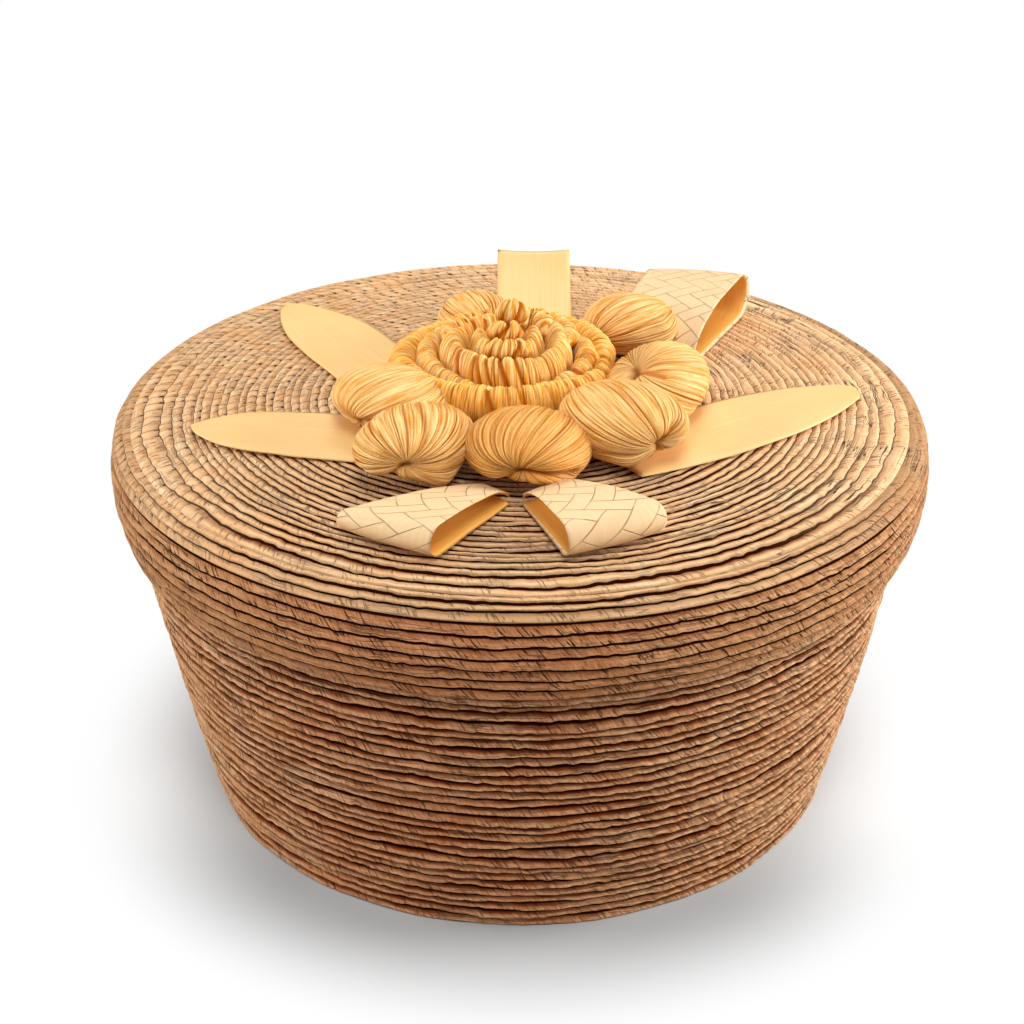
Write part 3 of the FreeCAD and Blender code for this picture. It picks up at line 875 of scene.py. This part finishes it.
def bow_loop(name, root, fold_left, fold_right, root_width, heights, lift, corners, seed):
    """A plaited ribbon laid out from its root, folded over and brought back. heights are the fold's
    height at its left and right end, and corners how far its two corners are drawn in."""
    rng = np.random.default_rng(seed)
    root, fold_left, fold_right = np.array(root), np.array(fold_left), np.array(fold_right)
    ahead = (fold_left + fold_right) / 2 - root
    ahead = ahead / np.linalg.norm(ahead)
    beside = np.array([-ahead[1], ahead[0]])
    top_columns = 33
    across, face = blade_section(top_columns)
    side = (across + 1) / 2
    start = root + np.outer(-across, beside) * root_width / 2
    end = fold_left + np.outer(side, fold_right - fold_left)
    end -= np.outer(corners[0] * (1 - side) ** 4 + corners[1] * side ** 4, ahead)
    length = np.linalg.norm(end - start, axis=1)
    tall = heights[0] + (heights[1] - heights[0]) * side
    share = np.linspace(0, 1, 150)
    flat = np.clip(share / FOLD_START, 0, 1)
    turn = np.clip((share - FOLD_START) / FOLD_LENGTH, 0, 1) * math.pi
    back = np.clip((share - FOLD_END) / FOLD_START, 0, 1)
    reach_out = (flat - back)[:, None] * (length - tall / 2) + np.sin(turn)[:, None] * tall / 2
    closing = 2 * LEAF + LAY_GAP
    arch = closing + (tall - closing) * np.sin(np.pi / 2 * (1 - back[:, None]) ** 0.5)
    rise = np.where(share[:, None] > FOLD_END, arch, (1 - np.cos(turn))[:, None] / 2 * tall)
    middle = start + reach_out[..., None] / length[:, None] * (end - start)
    ground = lid_height(middle) + LOOP_REST + lift * (reach_out / length)
    line = np.concatenate([middle, (ground + rise)[..., None]], axis=-1)
    sideways = np.gradient(line[:, :top_columns], axis=1)
    sideways = np.concatenate([sideways, sideways[:, -2:0:-1]], axis=1)
    inward = np.cross(np.gradient(line, axis=0), sideways)
    inward /= np.maximum(np.linalg.norm(inward, axis=-1, keepdims=True), 1e-9)
    inward *= np.sign(inward[20:21, :, 2:3])               # up, where the ribbon lies on the lid
    depth = LEAF * (1 - face) / 2 * (1 - across ** 10) ** 0.5
    depth = depth * np.minimum(1, np.minimum(share, 1 - share) * 120)[:, None]
    ripple = 0.25 * drift(rng, 9, share * 0.95)[:, None] * across
    points = line + inward * (depth + ripple)[..., None]
    width = (root_width + np.linalg.norm(fold_left - fold_right)) / 2
    piece = blade_skin(name, points, across, width,
                       share * (2 * length.mean() + math.pi * tall.mean() / 2))
    inner = np.concatenate([[0], (face[1:] < 0) | (face[:-1] < 0)])
    piece.data.polygons.foreach_set("material_index", np.tile(inner, len(share) - 1))
    return piece


LOOPS = {
    # name: root, fold's left end, fold's right end, root width, fold heights, lift of the fold, corners
    "loop_front_left": ((-6, -70), (-24.5, -106), (-51.5, -90), 9.0, (9.0, 6.0), 1.2, (0.8, 2.0)),
    "loop_front_right": ((4, -71), (41, -94), (13, -106), 9.0, (10.0, 9.0), 1.2, (2.5, 0.8)),
    "loop_back_right": ((42, 27), (46, 80), (77, 70), 28.0, (13.0, 15.0), 1.0, (3.0, 1.0)),
}
for number, (name, sizes) in enumerate(LOOPS.items()):
    ribbon = bow_loop(name + "_ribbon", *sizes, seed=70 + number)
    fit(ribbon, "plaited_ribbon", "lid", name, ribbon_outside, ribbon_inside)

# ------------------------------------------------------------------------------
# Petals
# Puffs of finely split palm, gathered at one point and drawn over into a shell. Each is pressed against
# its neighbours and against the rosette, and lies on the crown.


def bell(distance, width):
    """1 at no distance, fading out over about this width."""
    return np.exp(-(distance / width) ** 2)


def gathers(rng, count, turns):
    """Height of gathered strips round one turn, 1 on a strip and 0 in the deepest groove. The strips are
    uneven in width, and few of the grooves between them are deep."""
    widths = rng.uniform(0.4, 1.6, count)
    edges = np.concatenate([[0], np.cumsum(widths)]) / widths.sum()
    depth = 0.1 + 0.9 * rng.uniform(0, 1, count) ** 1.8
    place = turns % 1
    strip = np.clip(np.searchsorted(edges, place, side="right") - 1, 0, count - 1)
    inside = (place - edges[strip]) / (edges[strip + 1] - edges[strip])
    groove = np.maximum(depth[strip] * bell(inside, 0.2),
                        depth[(strip + 1) % count] * bell(1 - inside, 0.2))
    return 1 - 0.2 * (2 * inside - 1) ** 2 - 0.8 * groove


petal_fibre = {"depth": 0.3, "specular": 0.25, "Deep": (0.52, 0.15, 0.0, 1), "Fibres": 1.1,
               "Length": 0.08, "Streaks": 2.0, "Mottling": 0.5, "Creases": 1.2}
petal_palm = fibre_material("petal_palm", Light=(1.0, 0.66, 0.27, 1), Dark=(0.78, 0.32, 0.03, 1),
                            **petal_fibre)
# A darker copy of the petal palm: painted shade for the front petal.
shaded_petal_palm = fibre_material("shaded_petal_palm", Light=(0.90, 0.48, 0.14, 1), Dark=(0.70, 0.26, 0.02, 1),
                             **petal_fibre)
ROSETTE = np.array([-4.0, -2.0])                # the middle of the flower
FLOWER_LIFT = LAY_GAP + LEAF + LAY_GAP          # the petals lie over the leaves
PETAL_FOOT = 0.5                                # how much of a petal is pressed flat


def unit(vectors):
    """The same directions with length 1."""
    return vectors / np.linalg.norm(vectors, axis=-1, keepdims=True)


def puff(name, middle, outward, across, half_height, pole, twist, strips, pinch, folds, tugs, seed):
    """A squashed ball whose gathers run from the pinched pole over to its far side. folds are creases
    from the pole towards a direction, with their depth, and tugs draw the surface out towards one."""
    rng = np.random.default_rng(seed)
    c, s = unit(np.array(middle) - ROSETTE)
    axes = np.array([[c, s, 0], [-s, c, 0], [0, 0, 1]])
    semi = np.array([outward, across, half_height])

    def on_ball(direction):
        return unit(axes @ np.array(direction, float) / semi)

    top = on_ball(pole)
    first = unit(np.cross(top, (0.1, 0.2, 1.0)))
    second = np.cross(top, first)
    columns, rows = 540, 92
    turns = np.arange(columns) / columns
    down = math.pi * np.linspace(0, 1, rows) ** 1.25       # closer together at the pole
    angle = 2 * math.pi * turns
    beside = np.cos(angle)[:, None] * first + np.sin(angle)[:, None] * second
    ball = np.cos(down)[:, None, None] * top + np.sin(down)[:, None, None] * beside
    out = unit(ball / semi)
    spread = np.sin(down)[:, None]
    swirl = turns + twist * down[:, None] / math.pi
    bundle = gathers(rng, 15, swirl + 0.012 * np.sin(2.5 * down)[:, None])
    fold = gathers(rng, 66, swirl)
    strip = gathers(rng, strips, swirl)
    near_pole = bell(down, 0.8)[:, None]
    height = spread ** 0.6 * ((0.45 + 0.7 * near_pole) * (bundle - 0.8) + 0.6 * (fold - 0.8)
                              + 0.35 * (strip - 0.8))
    # crease is painted shade: in the deep grooves between gathers, and below along the folds and at the
    # pinched pole.
    crease = (0.8 * np.clip(0.75 - strip, 0, 1) + 1.1 * np.clip(0.74 - fold, 0, 1)
              + 1.1 * np.clip(0.55 - bundle, 0, 1))
    crease = np.clip(crease, 0, 1) * np.clip(spread * 3, 0, 1)
    for direction, depth, width in folds:
        aim = on_ball(direction)
        line = unit(top + np.linspace(0.15, 1, 12)[:, None] * (aim - top))
        near = np.arccos(np.clip((ball @ line.T).max(axis=-1), -1, 1))
        height = height - depth * bell(near, width)
        crease = np.maximum(crease, 0.8 * bell(near, width / 1.7))
    dent = pinch * bell(down, 0.42)[:, None]
    crease = np.maximum(crease, 0.7 * bell(down, 0.12)[:, None])
    points = (ball * semi * (1 - dent)[..., None] + out * height[..., None]) @ axes
    for direction, width, move in tugs:
        near = np.arccos(np.clip(ball @ on_ball(direction), -1, 1))
        points = points + move * bell(near, width)[..., None] * unit(np.array(direction, float))
    points[..., :2] += np.array(middle)
    points[..., 2] += dome(math.hypot(*middle)) + FLOWER_LIFT + half_height - PETAL_FOOT
    points[..., 2] = np.maximum(points[..., 2], lid_height(points) + FLOWER_LIFT)
    along = np.arange(columns + 1) / columns * strips + twist * strips * down[:-1, None] / math.pi
    far = down * (outward + half_height) / 2
    return skin(name, points, along, bands_of(far), loop=False, marks={"crease": crease})


PETALS = {
    # name: middle, semi-axes outward and across, half height, pole, twist, strips, depth of the pinch,
    # folds as (direction, depth, width), tugs as (direction, width, move)
    "petal_front": ((2, -57), 20.0, 18.0, 8.8, (-0.13, -0.99, 0.03), 0.12, 120, 0.16,
                    [((0.62, -0.78, -0.09), 3.2, 0.16), ((-0.5, -0.8, -0.35), 1.2, 0.1)],
                    [((-0.2, -0.85, -0.5), 0.5, -3.5), ((0.5, -0.75, -0.4), 0.3, 1.5)]),
    "petal_front_left": ((-30, -54), 21.0, 16.0, 8.8, (-0.10, -0.99, 0.08), -0.12, 110, 0.16,
                         [((-0.45, -0.85, -0.3), 2.0, 0.12)],
                         [((-0.4, -0.8, -0.5), 0.55, -4.0), ((0.50, -0.78, -0.38), 0.3, 3.5)]),
    "petal_front_right": ((29.5, -43), 20.5, 17.5, 10.0, (0.55, -0.83, -0.04), 0.1, 120, 0.15,
                          [((0.78, -0.60, 0.2), 3.0, 0.15), ((0.6, -0.7, -0.4), 1.5, 0.1)],
                          [((0.06, -0.96, -0.29), 0.25, 2.0), ((0.7, -0.6, -0.5), 0.5, -2.5)]),
    "petal_left": ((-38, -26), 16.0, 20.0, 8.8, (-0.65, -0.67, -0.2), 0.1, 110, 0.17,
                   [((-0.2, -0.97, 0.1), 1.2, 0.12)], []),
    "petal_right": ((41, -15), 15.0, 25.0, 9.0, (-0.67, -0.35, 0.66), -0.1, 130, 0.15,
                    [((0.1, -0.8, 0.6), 1.6, 0.13), ((-0.5, -0.8, 0.2), 2.0, 0.14)], []),
    "petal_back_right": ((35, 31), 15.0, 15.0, 9.0, (-0.78, -0.6, -0.15), 0.03, 100, 0.15, [],
                         [((0.67, -0.69, 0.27), 0.25, 2.0), ((0.1, -0.9, -0.4), 0.5, -3.0)]),
    "petal_back_left": ((-14, 37), 11.0, 12.0, 8.5, (0.5, -0.85, 0.0), 0.03, 80, 0.15, [], []),
}
for number, (name, sizes) in enumerate(PETALS.items()):
    petal = puff(name + "_puff", *sizes, seed=80 + number)
    fit(petal, "gathered_palm", "lid", name, shaded_petal_palm if name == "petal_front" else petal_palm)

# ------------------------------------------------------------------------------
# Rosette
# One long strip of split palm, gathered on a thread until it ruffles, and coiled on the backing from
# the outside in. Each turn stands a little higher than the one outside it, and the end is tucked up in
# small curls.

ruffle_fibre = {"depth": 0.3, "specular": 0.2, "Deep": (0.56, 0.15, 0.0, 1), "Fibres": 1.2,
                "Length": 0.08, "Streaks": 2.4, "Mottling": 0.6, "Creases": 1.4}
ruffled_palm = fibre_material("ruffled_palm", Light=(1.0, 0.71, 0.28, 1), Dark=(0.88, 0.36, 0.01, 1),
                              **ruffle_fibre)
# A darker copy of the ruffled palm: painted shade for the outer turn.
shaded_ruffle_palm = fibre_material("shaded_ruffle_palm", Light=(1.0, 0.63, 0.18, 1), Dark=(0.86, 0.32, 0.005, 1),
                            **ruffle_fibre)
STRIP, PLEAT, WAVE = 0.66, 1.7, 9.0             # widths of a strip, of a pleat and of a slow wave


def coil(start, turns, radii, columns):
    """A clockwise spiral round the middle of the flower. start is in turns from the right."""
    share = np.linspace(0, 1, columns)
    angle = -2 * math.pi * (start + share * turns)
    radius = np.interp(share, np.linspace(0, 1, len(radii)), radii)
    return ROSETTE + radius[:, None] * np.stack([np.cos(angle), np.sin(angle)], axis=1)


def bend(points, columns):
    """A smooth line through a few points, measured from the middle of the flower."""
    points = np.array(points, float)
    place = np.arange(len(points))
    share = np.linspace(0, len(points) - 1, columns)
    curves = [np.polyval(np.polyfit(place, values, 2), share) for values in points.T]
    return ROSETTE + np.stack(curves, axis=1)


def ruffle(name, node, path, tall, thick, bundles, seed, lift=0.0, lean=0.0, rough=0.6, sheets=8,
           taper=0.03, palm=ruffled_palm):
    """A gathered strip of palm stood on its edge along a path. tall and thick are heights and widths at
    even places along it. lift is its foot's height over the backing, lean how far its crest hangs
    outwards and rough how deep it is bundled."""
    rng = np.random.default_rng(seed)
    columns = len(path)
    run = np.linspace(0, 1, columns)
    foot = reach(node)[0][2] + lift
    ahead = np.gradient(path, axis=0)
    length = np.linalg.norm(ahead, axis=1).sum()
    ahead = unit(ahead)
    outward = np.stack([-ahead[:, 1], ahead[:, 0]], axis=1)
    tall = np.interp(run, np.linspace(0, 1, len(tall)), tall)
    thick = np.interp(run, np.linspace(0, 1, len(thick)), thick)
    ends = np.sin(np.pi / 2 * np.clip(np.minimum(run, 1 - run) / taper, 0.0, 1))
    section = np.linspace(0, 1, 32, endpoint=False)[:, None]
    turn = 2 * math.pi * section
    slant = 0.4 * np.cos(turn)
    place = run * 0.999
    strips, folds, knots = round(length / STRIP), round(length / PLEAT), max(3, round(length / WAVE))
    bundle = gathers(rng, bundles, place + slant / bundles)
    fold = gathers(rng, folds, place + slant / folds)
    strip = gathers(rng, strips, place + 0.6 * slant / strips)
    crest = tall * (0.95 + 0.05 * drift(rng, knots, place)) * (0.3 + 0.7 * ends)
    half = thick / 2 * (0.92 + 0.08 * drift(rng, knots, place)) * ends
    up = (0.5 - 0.5 * np.cos(turn)) ** 0.75
    puffed = 2.2 * rough * (bundle - 0.8) + 0.55 * (fold - 0.8) + 0.45 * (strip - 0.8)
    puffed = puffed * ends * np.clip(up * 1.5, 0.2, 1)
    side = half * np.sin(turn) * (1 + 0.18 * np.cos(turn))
    side = side + np.sin(turn) * puffed + (lean + 0.7 * drift(rng, knots, place)) * up
    rise = np.maximum(crest * up - np.cos(turn) * puffed, 0)
    rise = np.minimum(rise, tall)
    flat = path + outward * side[..., None]
    points = np.concatenate([flat, (foot + rise)[..., None]], axis=-1)
    # crease is painted shade: in the grooves between gathers and down at the strip's foot.
    crease = (0.6 * np.clip(0.76 - strip, 0, 1) + 0.9 * np.clip(0.76 - fold, 0, 1)
              + 1.9 * rough * np.clip(0.7 - bundle, 0, 1))
    crease = np.clip(crease + 0.7 * (1 - up) ** 2, 0, 1)
    far = np.linspace(0, 2 * float(tall.mean() + thick.mean()), len(section) + 1)
    piece = skin(name, points, run * strips, bands_of(far), ring=False, sheets=sheets,
                 marks={"crease": crease})
    fit(piece, "gathered_palm", "lid", node, palm)


ruffle("rosette_outer_turn", "rosette_outer",
       coil(-0.02, 1.0, (29.5, 32.0, 31.0, 32.0, 30.2, 31.4, 30.0), 1700),
       tall=(12.0, 15.1, 15.1, 14.0, 15.0, 14.0), thick=(6.0, 9.0, 9.5, 10.0, 9.5),
       bundles=44, seed=91, lean=-0.6, rough=0.75, palm=shaded_ruffle_palm)
ruffle("rosette_second_turn", "rosette_outer",
       coil(0.02, 1.02, (24.6, 25.4, 24.0, 25.8, 24.2, 25.4), 1300),
       tall=(14.5, 12.0, 14.5, 15.1, 15.1, 15.1), thick=(7.0, 8.0, 7.0, 8.5),
       bundles=22, seed=95, lean=-0.6, rough=0.9)
ruffle("rosette_middle_turn", "rosette_middle",
       coil(0.13, 1.05, (17.3, 16.9, 16.0, 17.0, 16.0, 16.9), 1000),
       tall=(17.0, 19.9, 19.9, 18.0, 19.9, 17.5), thick=(7.6, 8.4, 8.4, 7.4),
       bundles=24, seed=92, rough=0.65)
CURLS = {
    # name: node, path, foot over the backing, heights, width
    "rosette_inner_left": (
        "rosette_inner", coil(0.24, 0.40, (9.6, 8.6, 8.2), 300), 0.0, (19.0, 21.6, 20.0), 6.8),
    "rosette_inner_right": (
        "rosette_inner", coil(-0.14, 0.42, (8.2, 8.8, 9.4), 320), 0.0, (20.5, 21.6, 18.5), 6.8),
    "rosette_inner_back": (
        "rosette_inner", coil(0.6, 0.3, (8.2, 9.0, 8.2), 240), 0.0, (19.0, 20.5, 19.5), 6.6),
    "rosette_heart": (
        "rosette_bud", bend([(-2.5, 2.2), (1, -1.4), (4.4, 1.4)], 120), 0.0, (20.0, 22.0, 21.0), 5.4),
    "rosette_curl_front": (
        "rosette_bud", bend([(-4.6, 0.4), (0, -3.4), (4.8, -1.2)], 150), 16.5, (7.6,), 6.4),
    "rosette_curl_top": (
        "rosette_bud", bend([(-2.6, 4.4), (1.6, 2.0), (5.8, 4.6)], 150), 20.8, (7.8,), 6.4),
    "rosette_curl_back": (
        "rosette_inner", bend([(4.6, 9.4), (9.2, 9.0), (11.6, 4.6)], 150), 14.2, (7.8,), 6.4),
    "rosette_curl_right": (
        "rosette_middle", bend([(13.6, 10.8), (18.0, 6.6), (18.6, 0.4)], 170), 12.6, (7.6,), 6.6),
    "rosette_curl_left": (
        "rosette_middle", bend([(-18.6, 4.4), (-15.6, 9.0), (-10.6, 12.6)], 170), 12.4, (7.4,), 6.4),
    "rosette_curl_middle": (
        "rosette_inner", bend([(-6.4, -6.6), (0.4, -9.4), (6.6, -6.2)], 160), 13.4, (7.6,), 7.0),
}
for number, (name, (node, path, lift, tall, width)) in enumerate(CURLS.items()):
    ruffle(name, node, path, tall, (width,), bundles=max(3, len(path) // 40), seed=96 + number,
           lift=lift, rough=0.8, sheets=2, taper=0.22)

# ------------------------------------------------------------------------------
# Table, light and camera
# A pale table under soft light from above and from both sides, with a painted shadow on it in front
# of the basket. Places here are in metres.

table = bpy.data.meshes.new("table")
table.from_pydata([(-4, -4, 0), (4, -4, 0), (4, 6, 0), (-4, 6, 0)], [], [(0, 1, 2, 3)])
table = bpy.data.objects.new("table", table)
bpy.context.scene.collection.objects.link(table)
material, tree, shader = new_material("table_top", roughness=0.9, specular=0.1)
seen = take(tree, "LightPath", output="Is Camera Ray")
place = object_place(tree)
# Painted shadow: the table is darker near a point just in front of the basket.
close = take(tree, "VectorMath", {0: place, 1: (-0.01, -0.15, 0.0)}, "Value", operation="DISTANCE")
pale = close.ease(0.17, 0.09) * -0.45 + 0.9
level = pale.calc("MINIMUM", seen * 0.6 + 0.4)
feed(shader.inputs["Base Color"], vector(tree, level, level, level))
away = take(tree, "VectorMath", {0: place}, "Value", operation="LENGTH")
faded = away.ease(0.102, 0.152) * seen
white = take(tree, "Emission", {"Color": (1, 1, 1, 1), "Strength": 1.0})
mixed = take(tree, "MixShader", {0: faded, 1: shader.outputs[0], 2: white})
feed(tree.nodes["Material Output"].inputs["Surface"], mixed)
table.data.materials.append(material)


def softbox(name, place, target_height, width, height, power):
    """A rectangular soft lamp that faces the object's axis at this height."""
    lamp = bpy.data.lights.new(name, "AREA")
    lamp.shape = "RECTANGLE"
    lamp.size, lamp.size_y, lamp.energy = width, height, power
    holder = bpy.data.objects.new(name, lamp)
    holder.location = place
    facing = Vector((0, 0, target_height)) - Vector(place)
    holder.rotation_euler = facing.to_track_quat("-Z", "Y").to_euler()
    bpy.context.scene.collection.objects.link(holder)


softbox("lamp_front", (0.05, -0.75, 1.35), 0.1, 0.5, 0.5, 10.6)
softbox("lamp_low", (0.0, -1.3, 0.40), 0.08, 0.6, 0.4, 1.4)
softbox("lamp_back", (0.1, 0.7, 1.2), 0.1, 0.8, 0.8, 6.2)
softbox("lamp_left", (-1.15, 0.1, 0.45), 0.08, 0.6, 0.6, 10.7)
softbox("lamp_right", (1.15, 0.1, 0.45), 0.08, 0.6, 0.6, 15.7)

SKY_LIGHT = 0.18
world = bpy.data.worlds.new("studio")
world.use_nodes = True
bpy.context.scene.world = world
sky = world.node_tree.nodes["Background"]
seen = take(world.node_tree, "LightPath", output="Is Camera Ray")
feed(sky.inputs["Strength"], seen.calc("MAXIMUM", SKY_LIGHT))
sky.inputs["Color"].default_value = (1, 1, 1, 1)

FOCAL_LENGTH, VIEW_WIDTH = 2200, 1024           # in pixels of the rendered view
camera = bpy.data.cameras.new("camera")
camera.sensor_width = 36.0
camera.lens = camera.sensor_width * FOCAL_LENGTH / VIEW_WIDTH
camera.clip_end = 50.0
eye = bpy.data.objects.new("camera", camera)
eye.location = (-0.0024, -0.6155, 0.4040)
aim = (-0.0024, 0.0, 0.0849)
eye.rotation_euler = (math.pi / 2 - math.atan2(eye.location.z - aim[2], aim[1] - eye.location.y), 0, 0)
bpy.context.scene.collection.objects.link(eye)
bpy.context.scene.camera = eye
bpy.context.scene.view_settings.view_transform = "Standard"
